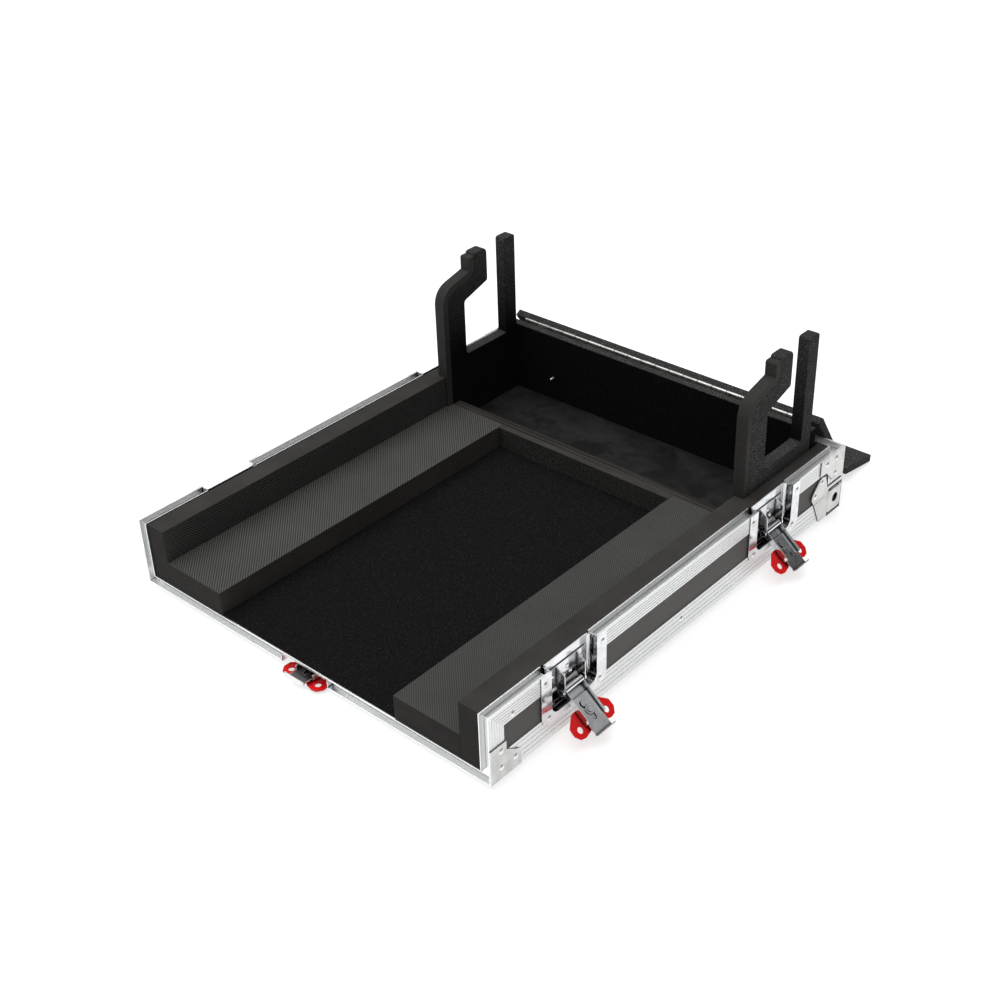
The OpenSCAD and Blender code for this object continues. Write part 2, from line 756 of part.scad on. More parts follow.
module fold_hinge_flap() {
  color("silver") at_fold() rotate([-flap_a, 0, 0]) hinge_leaf(1, -0.5);
}

// Latch dish: pressed flange and recess, open towards the rim
module rounded_slot(w, len, r) {
  translate([-w / 2, -len + r]) square([w, len - r]);
  translate([-w / 2 + r, -len]) square([w - 2 * r, r + e]);
  for (x = [-w / 2 + r, w / 2 - r]) translate([x, -len + r]) circle(r);
}
module recess(w, len, depth, r, fillet) {
  intersection() {
    translate([0, 0, -depth]) linear_extrude(depth + 2) rounded_slot(w, len, r);
    rotate([90, 0, 0]) translate([0, 0, -1]) linear_extrude(len + 2)
      translate([0, 2]) rounded_slot(w, depth + 2, fillet);
    rotate([90, 0, 90]) translate([0, 0, -w]) linear_extrude(2 * w) {
      translate([-len, -depth + fillet]) square([len, depth - fillet + 2]);
      translate([-len + fillet, -depth]) square([len - fillet, fillet + e]);
      translate([-len + fillet, -depth + fillet]) circle(fillet);
    }
  }
}
module dish_shell() {
  difference() {
    union() {
      linear_extrude(skin_t) rounded_slot(dish_w, dish_len, dish_r);
      intersection() {
        recess(tray_w + 2 * skin_t, tray_len + skin_t, tray_depth, tray_r + skin_t, press_r + skin_t);
        box([-dish_w, -dish_len, -big], [dish_w, 0, skin_t / 2]);
      }
    }
    recess(tray_w, tray_len, tray_depth - skin_t, tray_r, press_r);
    translate([0, 0, -tray_depth + skin_t]) linear_extrude(big) translate([-tray_w / 2, -1]) square([tray_w, 2]);
    rivet_holes(dish_rivets, skin_t);
  }
}
module ear_outline() {
  back = rod_in + bracket_back;
  difference() {
    union() {
      circle(ear_r);
      polygon([[back, 33], [back, 5], [-2, -ear_r * 0.89], [ear_r, 0], [ear_r, 24]]);
    }
    circle(rod_r + turn_fit / 2);
  }
}
module latch_bracket() {
  translate([0, -rod_down, 0]) {
    box([-31, 9, bracket_back], [31, 33, bracket_back + latch_t]);
    for (s = [-1, 1])
      translate([s * ear_gap / 2 + (s < 0 ? -latch_t : 0), 0, -rod_in])
        on_axes([0, 0, 0], [0, 0, 1], [0, 1, 0], [1, 0, 0]) linear_extrude(latch_t) ear_outline();
  }
}
module latch_rod() {
  len = ear_gap + 2 * latch_t;
  translate([0, -rod_down, -rod_in]) rotate([0, 90, 0]) {
    cylinder(r = rod_r, h = len + 2, center = true);
    for (s = [-1, 1]) translate([0, 0, s * (len / 2 + 0.9)]) cylinder(r = ear_r - 0.2, h = 1.6, center = true);
  }
}
module latch_dish() {
  color("lightgray") {
    dish_shell();
    latch_bracket();
    latch_rod();
  }
}

// Folded arm on the rod: y along the arm, z out of the closed latch
module latch_arm() {
  color("lightgray") difference() {
    union() {
      rotate([0, 90, 0]) cylinder(r = lever_knuckle_r, h = lever_w, center = true);
      box([-lever_w / 2, 0, lever_floor], [lever_w / 2, lever_len, lever_knuckle_r]);
      for (s = [-1, 1])
        translate([s * (lever_w - latch_t) / 2 - latch_t / 2, 0, 0])
          on_axes([0, 0, 0], [0, 1, 0], [0, 0, 1], [1, 0, 0]) linear_extrude(latch_t)
            polygon([[0, lever_knuckle_r], [0, 0], [4, -lever_wall], [lever_len - 1.5, -lever_wall],
              [lever_len, 1.5 - lever_wall], [lever_len, lever_knuckle_r]]);
      translate([0, hub_at, hook_under - washer_t - 1.2 - slide_gap])
        cylinder(r = hub_pin_r, h = wing_z + wing_t - hook_under + washer_t + 2.4);
      translate([0, hub_at, hook_under - washer_t - slide_gap]) cylinder(r = 5.5, h = washer_t);
      translate([0, hub_at, wing_z + wing_t + slide_gap]) cylinder(r1 = 4.6, r2 = 3.6, h = 1);
    }
    rotate([0, 90, 0]) cylinder(r = rod_r + turn_fit, h = lever_w + 2, center = true);
  }
}

// Hook plate that slides along the arm
module latch_hook() {
  start = lever_knuckle_r + hook_travel + 0.3;
  slot = hub_pin_r + 0.4;
  color("lightgray") {
    translate([0, 0, hook_under]) linear_extrude(hook_top - hook_under) difference() {
      translate([-hook_w / 2, start]) square([hook_w, hook_len - start - latch_t]);
      translate([-slot, hub_at]) square([2 * slot, hook_travel]);
      for (y = [hub_at, hub_at + hook_travel]) translate([0, y]) circle(slot);
      intersection() {
        translate([-1, 24]) difference() {
          circle(6.2);
          circle(3.8);
        }
        translate([-8, 20]) square([7.5, 12]);
      }
    }
    box([-lip_w / 2, hook_len - latch_t - e, hook_top - lip_h], [lip_w / 2, hook_len, hook_top]);
  }
}

// Butterfly handle: a hub and two wings that reach towards the hook
function wing_points(s) = [
  [0, -8], [s * 17, -7.5], [s * 21, -6.5], [s * (wing_reach - 0.5), 4.5], [s * wing_reach, 14],
  [s * (wing_reach - 5), 21], [s * (wing_reach - 11.5), 22.5], [s * 12, 20], [0, 11]
];
module latch_handle() {
  color("red") translate([0, hub_at, 0]) difference() {
    union() {
      translate([0, 0, lever_knuckle_r + slide_gap]) cylinder(r = 8, h = wing_z - lever_knuckle_r);
      translate([0, 0, wing_z]) linear_extrude(wing_t) for (s = [-1, 1]) difference() {
        polygon(wing_points(s));
        translate([s * (wing_reach - 11), 12]) circle(wing_hole_r);
      }
    }
    cylinder(r = hub_pin_r + turn_fit, h = 20);
  }
}

// One latch part on the side wall, hanging open, or closed under the front edge
module on_rod(a) { translate([0, -rod_down, -rod_in]) rotate([a, 0, 0]) children(); }
module right_latch(y, a = open_a) { lift() at_right_latch(y) on_rod(a) children(); }
module left_latch(y) { mirror([1, 0, 0]) right_latch(y) children(); }
module front_latch() { lift() at_front_latch() on_rod(0) children(); }
y_front = side_latches[0];
y_rear = side_latches[1];

floor_panel();
side_panel_left();
side_panel_right();
rear_panel();
edge_angle_left();
edge_angle_right();
edge_angle_rear();
rear_corner_angles();
rim_left();
rim_right();
rim_rear();
rim_front_posts();
rim_floor();
front_corner_brackets();
rear_corner_brackets();
ball_corner_left();
ball_corner_right();
rubber_feet();
rivets();
floor_carpet();
side_foam_left();
side_foam_right();
ledge_foam_left();
ledge_foam_right();
rear_foam_strips();
partition_board();
partition_foam();
bay_pad();
upright_left();
upright_right();
upright_facing_left();
upright_facing_right();
rear_board();
cover_hinge_fixed();
cover_panel();
cover_hinge_moving();
fold_hinge_cover();
flap_panel();
fold_hinge_flap();
lift() at_right_latch(y_front) latch_dish();  // latch_dish_right_front
right_latch(y_front) latch_arm();  // latch_arm_right_front
right_latch(y_front) latch_hook();  // latch_hook_right_front
right_latch(y_front) latch_handle();  // latch_handle_right_front
lift() at_right_latch(y_rear) latch_dish();  // latch_dish_right_rear
right_latch(y_rear) latch_arm();  // latch_arm_right_rear
right_latch(y_rear) latch_hook();  // latch_hook_right_rear
right_latch(y_rear) latch_handle();  // latch_handle_right_rear
mirror([1, 0, 0]) lift() at_right_latch(y_front) latch_dish();  // latch_dish_left_front
left_latch(y_front) latch_arm();  // latch_arm_left_front
left_latch(y_front) latch_hook();  // latch_hook_left_front
left_latch(y_front) latch_handle();  // latch_handle_left_front
mirror([1, 0, 0]) lift() at_right_latch(y_rear) latch_dish();  // latch_dish_left_rear
left_latch(y_rear) latch_arm();  // latch_arm_left_rear
left_latch(y_rear) latch_hook();  // latch_hook_left_rear
left_latch(y_rear) latch_handle();  // latch_handle_left_rear
lift() at_front_latch() latch_dish();  // latch_dish_front
front_latch() latch_arm();  // latch_arm_front
front_latch() latch_hook();  // latch_hook_front
front_latch() latch_handle();  // latch_handle_front
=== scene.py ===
"""Looks of the mixer flight case: materials for metal and plywood, and modelled foam and carpeted boards.

Everything is in metres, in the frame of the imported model: origin on the ground, +Y to the rear, +Z up.
"""
import json
import math

import bmesh
import bpy
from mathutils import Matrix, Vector


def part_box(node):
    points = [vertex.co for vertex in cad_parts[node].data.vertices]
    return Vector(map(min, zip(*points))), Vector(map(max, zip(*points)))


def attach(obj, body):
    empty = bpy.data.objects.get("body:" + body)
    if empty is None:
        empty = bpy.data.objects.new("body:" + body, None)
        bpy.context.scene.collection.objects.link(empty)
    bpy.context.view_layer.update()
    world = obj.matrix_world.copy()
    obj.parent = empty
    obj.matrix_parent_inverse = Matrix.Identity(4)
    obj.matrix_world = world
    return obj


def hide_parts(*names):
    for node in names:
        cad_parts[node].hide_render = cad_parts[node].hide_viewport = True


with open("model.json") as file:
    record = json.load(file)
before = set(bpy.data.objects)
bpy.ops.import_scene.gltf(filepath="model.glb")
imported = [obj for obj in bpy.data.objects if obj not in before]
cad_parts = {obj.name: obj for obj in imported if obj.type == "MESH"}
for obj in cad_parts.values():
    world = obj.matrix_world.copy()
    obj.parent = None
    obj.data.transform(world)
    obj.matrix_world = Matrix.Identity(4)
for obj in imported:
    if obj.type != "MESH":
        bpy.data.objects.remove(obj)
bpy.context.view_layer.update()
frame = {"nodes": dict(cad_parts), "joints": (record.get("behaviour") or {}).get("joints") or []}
nodes = frame["nodes"]

MM = 0.001
X, Y, Z = range(3)

# Outer planes of the case, and the depth of the lines that are rolled into its extrusions
OUTER_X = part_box("rim_right")[1][X]
OUTER_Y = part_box("rim_right")[1][Y]
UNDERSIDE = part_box("edge_angle_right")[0][Z]
LINE_DEPTH = 0.4 * MM
LINE_MARGIN = 0.12 * MM

# The blind hole in each ball corner, as distances from the corner's outer faces
BALL_SKIN = 2 * MM
BALL_HOLE_DEPTH = 6 * MM
BALL_HOLE_END = 36 * MM
BALL_HOLE_TOP = 43 * MM

# The rolled hinges, along their length and round their pins
KNUCKLES = 20
KNUCKLE_RADIUS = 2.5 * MM

# Rounding of the edges of metal pieces
TRIM_EASE = 0.2 * MM
BRACKET_EASE = 0.4 * MM
LATCH_EASE = 0.3 * MM
WING_EASE = 0.35 * MM
METAL_EDGE = math.radians(35)

# Rounding of the edges of foam and carpeted boards, from the crispest to the roundest
LEDGE_EASE = 0.4 * MM
FLOOR_EASE = 0.6 * MM
THIN_EASE = 0.8 * MM
FOAM_EASE = 1.2 * MM
FACING_EASE = 1.6 * MM
REAR_BOARD_EASE = 1.6 * MM
COVER_EASE = 1.8 * MM
UPRIGHT_EASE = 3.2 * MM
SOFT_EDGE = math.radians(25)

# Points of a mesh this close are one, and faces this nearly level with each other are one
WELD = 0.01 * MM
FLAT = math.radians(1)

# How squarely a face looks along an axis to count as that side of its piece
LOOSELY = 0.5
SQUARELY = 0.6
STRICTLY = 0.8

# The end of a screw that comes through the rear board into the cable bay
SCREW_X = -175.2 * MM
SCREW_Z = 60.5 * MM
SCREW_LENGTH = 7.0 * MM
SCREW_NECK = 1.3 * MM
THREAD_ROOT = 1.35 * MM
THREAD_CREST = 1.9 * MM
THREAD_PITCH = 0.9 * MM
THREAD_TURNS = 6

# The studio. The sky's shades go by height, and by how far to the left a reflection looks.
FLOOR_REACH = 12.0
FLOOR_GLOW = 0.65
SKY_SHADES = ((0.0, 0.10), (0.36, 0.07), (0.46, 0.9), (0.7, 1.0), (1.0, 1.0))
SKY_LEAN = -0.25
SKY_STRENGTH = 0.6

# The photograph's camera: its place, and its turn about x, y and z in degrees
CAMERA_PLACE = (1.1082, -1.2074, 1.1403)
CAMERA_TURN = (56.9656, 1.6853, 41.4972)
CAMERA_LENS = 54.65
SENSOR_WIDTH = 36.0


# Materials

# Samples of the shader nodes that look round a point
LOOK_ROUND = 6


def grey(value):
    return (value, value, value)


def scaled(color, factor):
    return tuple(factor * c for c in color)


class Nodes:
    """Builds the nodes of a material or of the world."""

    def __init__(self, tree):
        self.tree = tree

    def node(self, kind, **props):
        new = self.tree.nodes.new(kind)
        for key, value in props.items():
            setattr(new, key, value)
        return new

    def link(self, output, socket):
        self.tree.links.new(output, socket)

    def math(self, op, *values):
        """Arithmetic on numbers and outputs of other nodes."""
        calc = self.node("ShaderNodeMath", operation=op)
        for socket, value in zip(calc.inputs, values):
            if isinstance(value, (int, float)):
                socket.default_value = value
            else:
                self.link(value, socket)
        return calc.outputs[0]

    def part(self, vector, axis):
        """The x, y or z of a vector."""
        split = self.node("ShaderNodeSeparateXYZ")
        self.link(vector, split.inputs[0])
        return split.outputs[axis]

    def ramp(self, fac, *stops):
        """A ramp of (position, grey or colour) stops."""
        ramp = self.node("ShaderNodeValToRGB")
        elements = ramp.color_ramp.elements
        while len(elements) < len(stops):
            elements.new(0.5)
        for element, (at, value) in zip(elements, stops):
            element.position = at
            element.color = (*(grey(value) if isinstance(value, float) else value), 1)
        self.link(fac, ramp.inputs["Fac"])
        return ramp.outputs["Color"]


class Shader(Nodes):
    """A Principled material, whose coordinates are those of the CAD at rest."""

    def __init__(self, name, color, rough, metallic=0.0, **sockets):
        self.mat = bpy.data.materials.new(name)
        self.mat.use_nodes = True
        super().__init__(self.mat.node_tree)
        self.bsdf = self.tree.nodes["Principled BSDF"]
        self.bsdf.inputs["Base Color"].default_value = (*color, 1)
        self.bsdf.inputs["Roughness"].default_value = rough
        self.bsdf.inputs["Metallic"].default_value = metallic
        for key, value in sockets.items():
            self.bsdf.inputs[key.replace("_", " ")].default_value = value
        self.coords = self.node("ShaderNodeTexCoord").outputs["Object"]
        self.normal = None

    def place(self, axis):
        return self.part(self.coords, axis)

    def distance(self, axis):
        """The distance from the middle of the case along an axis."""
        return self.math("ABSOLUTE", self.place(axis))

    def facing(self, axis):
        """How far the surface faces along an axis of the room."""
        return self.part(self.node("ShaderNodeNewGeometry").outputs["Normal"], axis)

    def stretched(self, scale):
        """Object coordinates, scaled along each axis."""
        mapping = self.node("ShaderNodeMapping")
        mapping.inputs["Scale"].default_value = scale
        self.link(self.coords, mapping.inputs["Vector"])
        return mapping.outputs["Vector"]

    def noise(self, scale, detail=2.0, vector=None, rough=0.5):
        tex = self.node("ShaderNodeTexNoise")
        tex.inputs["Scale"].default_value = scale
        tex.inputs["Detail"].default_value = detail
        tex.inputs["Roughness"].default_value = rough
        self.link(vector or self.coords, tex.inputs["Vector"])
        return tex.outputs["Fac"]

    def mix(self, fac, a, b, blend="MIX"):
        mixer = self.node("ShaderNodeMix", data_type="RGBA", blend_type=blend)
        if isinstance(fac, float):
            mixer.inputs["Factor"].default_value = fac
        else:
            self.link(fac, mixer.inputs["Factor"])
        for key, value in (("A", a), ("B", b)):
            socket = next(s for s in mixer.inputs if s.name == key and s.type == "RGBA")
            if isinstance(value, tuple):
                socket.default_value = (*value, 1)
            else:
                self.link(value, socket)
        return next(s for s in mixer.outputs if s.type == "RGBA")

    def times(self, a, b):
        """Two colours multiplied."""
        return self.mix(1.0, a, b, "MULTIPLY")

    def bump(self, height, depth, strength=1.0):
        """Adds a relief, its depth in metres."""
        node = self.node("ShaderNodeBump")
        node.inputs["Strength"].default_value = strength
        node.inputs["Distance"].default_value = depth
        self.link(height, node.inputs["Height"])
        if self.normal:
            self.link(self.normal, node.inputs["Normal"])
        self.normal = node.outputs["Normal"]
        self.use(self.normal, "Normal")

    def use(self, value, socket):
        self.link(value, self.bsdf.inputs[socket])

    def edges(self, radius):
        """1 on the outer edges of the sheet, 0 on its faces."""
        bevel = self.node("ShaderNodeBevel", samples=LOOK_ROUND)
        bevel.inputs["Radius"].default_value = radius
        across = self.node("ShaderNodeVectorMath", operation="DOT_PRODUCT")
        self.link(bevel.outputs["Normal"], across.inputs[0])
        self.link(self.node("ShaderNodeNewGeometry").outputs["Normal"], across.inputs[1])
        return self.ramp(across.outputs["Value"], (0.88, 1.0), (0.985, 0.0))

    def open_air(self, reach):
        """1 where nothing is near, towards 0 in corners and along seams."""
        near = self.node("ShaderNodeAmbientOcclusion", samples=LOOK_ROUND)
        near.inputs["Distance"].default_value = reach
        return near.outputs["AO"]

    def within(self, axis, low, high):
        """1 where the distance from the middle along an axis is between two values."""
        away = self.distance(axis)
        past_low = self.math("GREATER_THAN", away, low)
        short_of_high = self.math("LESS_THAN", away, high)
        return self.math("MULTIPLY", past_low, short_of_high)


def aluminium(name, along):
    """Anodised extrusion: fine lines along one axis, dull lips with a painted highlight, painted light on
    its top and front faces, painted shade along seams, and groove floors painted pale to cancel their
    shade.
    """
    s = Shader(name, (0.70, 0.71, 0.71), 0.3, 1.0)
    fine = [2600.0] * 3
    fine[along] = 6.0
    lines = s.noise(1.0, 3.0, s.stretched(fine), 0.6)
    clouds = s.noise(9.0, 3.0)
    # Mask of the lips, which are dull and get a painted highlight
    lips = s.edges(0.8 * MM)
    drawn = s.ramp(s.math("MULTIPLY", lines, clouds), (0.1, 0.24), (0.5, 0.40))
    s.use(s.mix(lips, drawn, grey(0.7)), "Roughness")

    # The floors of the rolled grooves are painted pale, to cancel the shade that falls in them
    floors = ((s.distance(X), OUTER_X - LINE_DEPTH), (s.distance(Y), OUTER_Y - LINE_DEPTH),
              (s.place(Z), UNDERSIDE + LINE_DEPTH))
    at_x, at_y, at_z = [s.math("COMPARE", place, depth, LINE_MARGIN) for place, depth in floors]
    in_groove = s.math("MAXIMUM", s.math("MAXIMUM", at_x, at_y), at_z)

    # Painted light on faces that look up or to the front, and painted shade along seams
    upward = s.ramp(s.facing(Z), (0.5, 0.0), (0.8, 1.0))
    frontal = s.ramp(s.math("MULTIPLY", s.facing(Y), -1.0), (0.5, 0.0), (0.8, 1.0))
    near = s.open_air(2.0 * MM)
    seams = s.mix(frontal, s.ramp(near, (0.35, 0.2), (0.8, 1.0)), s.ramp(near, (0.3, 0.25), (0.6, 1.0)))
    metal = s.ramp(lines, (0.2, (0.60, 0.61, 0.61)), (0.7, (0.76, 0.77, 0.77)))
    lit_top_and_front = s.mix(s.math("MAXIMUM", upward, frontal), metal, (0.93, 0.94, 0.94))
    bare = s.times(s.mix(lips, lit_top_and_front, grey(1.0)), seams)
    s.use(s.mix(in_groove, bare, grey(0.96)), "Base Color")
    s.bump(lines, 0.02 * MM)
    return s.mat


def sheet_steel(name, color, rough, dirt, hollow=None, recessed=False, flat=None):
    """Plated sheet steel: faint clouds and scratches, a painted highlight on its edges, painted shade
    along seams and in corners.

    hollow is a box (ranges of |x|, |y| and |z|) that no light gets into, painted near black as its shade.
    recessed is for sheet that lies in a dish, with painted shade darkening it towards its bottom.
    flat is a painted dark reflection for the faces that lie level at rest, in place of their own colour.
    """
    s = Shader(name, color, rough, 1.0)
    clouds = s.noise(70.0, 5.0)
    scratches = s.noise(1.0, 2.0, s.stretched((300.0, 300.0, 2400.0)))
    # Mask of the edges, which are dull and get a painted highlight
    cut = s.edges(0.9 * MM)
    worn = s.ramp(s.math("ADD", s.math("MULTIPLY", clouds, 0.7), s.math("MULTIPLY", scratches, 0.3)),
                  (0.35, rough), (0.7, rough + dirt))
    s.use(s.mix(cut, worn, grey(0.5)), "Roughness")

    plate = s.ramp(clouds, (0.35, scaled(color, 0.8)), (0.6, color))
    # Painted shade, deepening towards the bottom of the dish
    if recessed:
        plate = s.times(plate, s.ramp(s.open_air(30 * MM), (0.2, 0.12), (0.45, 0.35), (0.72, 1.0)))
    # Level faces painted dark, as the reflection of the dark case
    if flat:
        level = s.part(s.node("ShaderNodeTexCoord").outputs["Normal"], Z)
        plate = s.mix(s.ramp(level, (0.6, 0.0), (0.8, 1.0)), plate, flat)
    # Painted shade along seams and in corners
    seams = s.ramp(s.open_air(3.5 * MM), (0.35, 0.03), (0.6, 0.3), (0.93, 1.0))
    look = s.times(s.mix(cut, plate, grey(0.97)), seams)
    # The inside of the hollow is painted near black, as shade
    if hollow:
        in_x, in_y, in_z = [s.within(axis, *hollow[axis]) for axis in (X, Y, Z)]
        look = s.mix(s.math("MULTIPLY", s.math("MULTIPLY", in_x, in_y), in_z), look, grey(0.008))
    s.use(look, "Base Color")
    s.bump(clouds, 0.03 * MM)
    return s.mat


def hinge_steel(pitch, pin):
    """Rolled hinge steel, with painted shade in the gaps between the knuckles on its pin."""
    s = Shader("hinge_steel", (0.50, 0.49, 0.47), 0.3, 1.0)
    phase = s.math("FRACT", s.math("DIVIDE", s.place(X), pitch))
    # Painted shade in the gaps between the knuckles, round the pin
    notch = s.ramp(phase, (0.01, 0.0), (0.04, 1.0), (0.96, 1.0), (0.99, 0.0))
    far = [s.math("POWER", s.math("SUBTRACT", s.place(axis), pin[axis]), 2.0) for axis in (Y, Z)]
    off_pin = s.math("GREATER_THAN", s.math("ADD", *far), KNUCKLE_RADIUS ** 2)
    solid = s.math("MAXIMUM", notch, off_pin)
    wear = s.ramp(s.noise(60.0, 4.0), (0.3, (0.34, 0.33, 0.32)), (0.7, (0.62, 0.61, 0.59)))
    s.use(s.mix(solid, grey(0.12), wear), "Base Color")
    s.use(s.ramp(s.noise(200.0), (0.3, 0.28), (0.7, 0.45)), "Roughness")
    s.bump(solid, 0.1 * MM)
    return s.mat


def laminate():
    """Dark grey high-pressure laminate."""
    s = Shader("laminate_dark_grey", (0.062, 0.058, 0.054), 0.5, Specular_IOR_Level=0.25)
    wear = s.noise(14.0, 5.0)
    s.use(s.ramp(wear, (0.3, (0.056, 0.052, 0.048)), (0.7, (0.070, 0.065, 0.060))), "Base Color")
    s.use(s.ramp(wear, (0.3, 0.42), (0.7, 0.58)), "Roughness")
    s.bump(s.noise(700.0), 0.05 * MM)
    return s.mat


def red_paint():
    """Glossy red powder coat, with painted shade where something is near."""
    s = Shader("red_powder_coat", (0.62, 0.004, 0.005), 0.3, Specular_IOR_Level=0.3)
    film = s.ramp(s.noise(60.0, 3.0), (0.3, (0.56, 0.003, 0.004)), (0.7, (0.68, 0.005, 0.006)))
    shade = s.ramp(s.open_air(9 * MM), (0.3, 0.12), (0.95, 1.0))
    s.use(s.times(film, shade), "Base Color")
    s.bump(s.noise(420.0), 0.06 * MM)
    return s.mat


def rubber():
    """Black rubber with a little dust."""
    s = Shader("rubber_black", grey(0.018), 0.62)
    s.use(s.ramp(s.noise(60.0, 4.0), (0.4, 0.016), (0.8, (0.045, 0.044, 0.042))), "Base Color")
    s.bump(s.noise(900.0), 0.05 * MM)
    return s.mat


def carpet(name, dark, light, flecks, shade_heights=None, grain=760.0):
    """Needle-punched carpet: dark fibres with lighter flecks.

    flecks is how many there are, and grain how fine they are.
    A range of heights, when given, is painted shade: the carpet is dark below the range and fades to its
    own colour across it.
    """
    s = Shader(name, dark, 0.95, Specular_IOR_Level=0.06)
    fibre = s.noise(1100.0, 3.0, rough=0.7)
    speck = s.noise(grain, 1.0)
    patches = s.math("MULTIPLY", s.math("SUBTRACT", s.noise(35.0, 3.0), 0.5), 0.12)
    base = s.ramp(fibre, (0.35, scaled(dark, 0.45)), (0.68, scaled(dark, 1.7)))
    spots = s.ramp(s.math("ADD", speck, patches), (0.62 - flecks, 0.0), (0.74 - flecks, 1.0))
    look = s.mix(spots, base, light)
    # Painted shade, dark low down and fading out with height
    if shade_heights:
        look = s.times(look, s.ramp(s.place(Z), (shade_heights[0], 0.12), (shade_heights[1], 1.0)))
    s.use(look, "Base Color")
    s.bump(fibre, 0.5 * MM, 0.9)
    s.bump(speck, 0.7 * MM, 0.5)
    return s.mat


def eva_smooth(name, color):
    """Cut EVA foam: closed cells, faint knife marks and dust."""
    s = Shader(name, color, 0.8, Specular_IOR_Level=0.15)
    smears = s.noise(16.0, 6.0, rough=0.65)
    s.use(s.ramp(smears, (0.3, scaled(color, 0.78)), (0.72, scaled(color, 1.3))), "Base Color")
    s.bump(s.noise(1500.0), 0.15 * MM, 0.8)
    s.bump(s.noise(70.0, 3.0), 0.35 * MM, 0.6)
    return s.mat


def eva_knurled(name, color, across, along, share=0.5, contrast=0.5, pitch=3.0 * MM):
    """Embossed EVA foam: crossing ridges, diagonal to the two given directions, with painted highlight
    and shade across the ridges.

    share is how much of the relief the first family of ridges has, and contrast how strong the painted
    highlight and shade are.
    """
    s = Shader(name, color, 0.7, Specular_IOR_Level=0.15)

    def coordinate(direction):
        dot = s.node("ShaderNodeVectorMath", operation="DOT_PRODUCT")
        dot.inputs[1].default_value = direction
        s.link(s.coords, dot.inputs[0])
        return dot.outputs["Value"]

    def ridges(diagonal, height):
        wave = s.math("SINE", s.math("MULTIPLY", diagonal, math.sqrt(2) * math.pi / pitch))
        return s.math("MULTIPLY", wave, height / 2)

    u, v = coordinate(across), coordinate(along)
    both = s.math("ADD", ridges(s.math("ADD", u, v), share), ridges(s.math("SUBTRACT", u, v), 1 - share))
    relief = s.math("ADD", both, 0.5)
    # Painted highlight on the ridges and painted shade between them
    shade = s.ramp(relief, (0.25, scaled(color, 1 - contrast)), (0.75, scaled(color, 1 + contrast)))
    smears = s.ramp(s.noise(18.0, 5.0), (0.3, 0.7), (0.7, 1.0))
    s.use(s.mix(0.5, shade, smears, "MULTIPLY"), "Base Color")
    s.bump(relief, 0.6 * MM)
    s.bump(s.noise(1200.0), 0.1 * MM, 0.5)
    return s.mat


def eva_pad():
    """Soft black foam with dusty smears that stop at darker, wiped patches."""
    s = Shader("eva_pad", (0.011, 0.011, 0.0105), 0.85, Specular_IOR_Level=0.12)
    smears = s.noise(1.0, 7.0, s.stretched((14.0, 24.0, 14.0)), 0.72)
    dusty = s.ramp(smears, (0.42, (0.0085, 0.0083, 0.008)), (0.6, (0.0165, 0.016, 0.0155)),
                   (0.75, (0.024, 0.0235, 0.0225)))
    wiped = s.ramp(s.noise(22.0, 4.0), (0.40, 1.0), (0.5, 0.0))
    s.use(s.mix(wiped, dusty, grey(0.006)), "Base Color")
    s.bump(s.noise(1300.0), 0.15 * MM, 0.8)
    s.bump(smears, 0.4 * MM, 0.5)
    return s.mat


def ply_edge():
    """The stacked, painted layers that show on the partition's top."""
    s = Shader("layered_board", (0.035, 0.032, 0.030), 0.8, Specular_IOR_Level=0.15)
    layers = s.noise(1.0, 3.0, s.stretched((4.0, 700.0, 700.0)), 0.75)
    s.use(s.ramp(layers, (0.40, (0.007, 0.0065, 0.006)), (0.52, (0.022, 0.020, 0.0185)),
                 (0.68, (0.070, 0.058, 0.049))), "Base Color")
    s.bump(layers, 0.5 * MM)
    return s.mat


def ball_hole():
    """The box of |x|, |y| and |z| inside the hole of a ball corner."""
    low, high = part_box("ball_corner_right")
    return ((high[X] - BALL_HOLE_DEPTH, high[X] - BALL_SKIN),
            (high[Y] - BALL_HOLE_END, high[Y] - BALL_SKIN),
            (0.0, low[Z] + BALL_HOLE_TOP))


def hinges():
    """A material for the cover's hinge and one for the fold's, each round its own pin."""
    low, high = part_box("cover_hinge_fixed")
    return [hinge_steel((high[X] - low[X]) / KNUCKLES, joint["pos_m"])
            for joint in frame["joints"] if joint["name"] in ("cover_hinge", "flap_hinge")]


ALU = [aluminium("aluminium_along_" + "xyz"[axis], axis) for axis in (X, Y, Z)]
BRIGHT = sheet_steel("latch_steel_bright", (0.82, 0.83, 0.85), 0.07, 0.09, recessed=True)
SHADED = sheet_steel("latch_steel_shaded", (0.85, 0.85, 0.86), 0.3, 0.1, flat=grey(0.11))
SATIN = sheet_steel("fitting_steel_satin", (0.62, 0.62, 0.61), 0.24, 0.14)
CORNER = sheet_steel("corner_steel_satin", (0.62, 0.62, 0.61), 0.24, 0.14, hollow=ball_hole())
RIVET = sheet_steel("rivet_steel", grey(0.85), 0.3, 0.1)
COVER_HINGE, FOLD_HINGE = hinges()
LAMINATE = laminate()
RED = red_paint()
RUBBER = rubber()
CARPET_FLOOR = carpet("carpet_black", grey(0.0052), grey(0.015), 0.04, grain=430.0)
CARPET_BOARD = carpet("carpet_boards", (0.030, 0.0295, 0.029), grey(0.13), 0.03)
# Shaded copies of the boards' carpet, with painted shade: for the rear board's faces in the bay, and the
# uprights' inner and front faces
CARPET_DARK = carpet("carpet_bay", grey(0.0045), grey(0.016), 0.01)
CARPET_POST = carpet("carpet_posts", (0.026, 0.0255, 0.025), grey(0.12), 0.03, shade_heights=(0.13, 0.26))
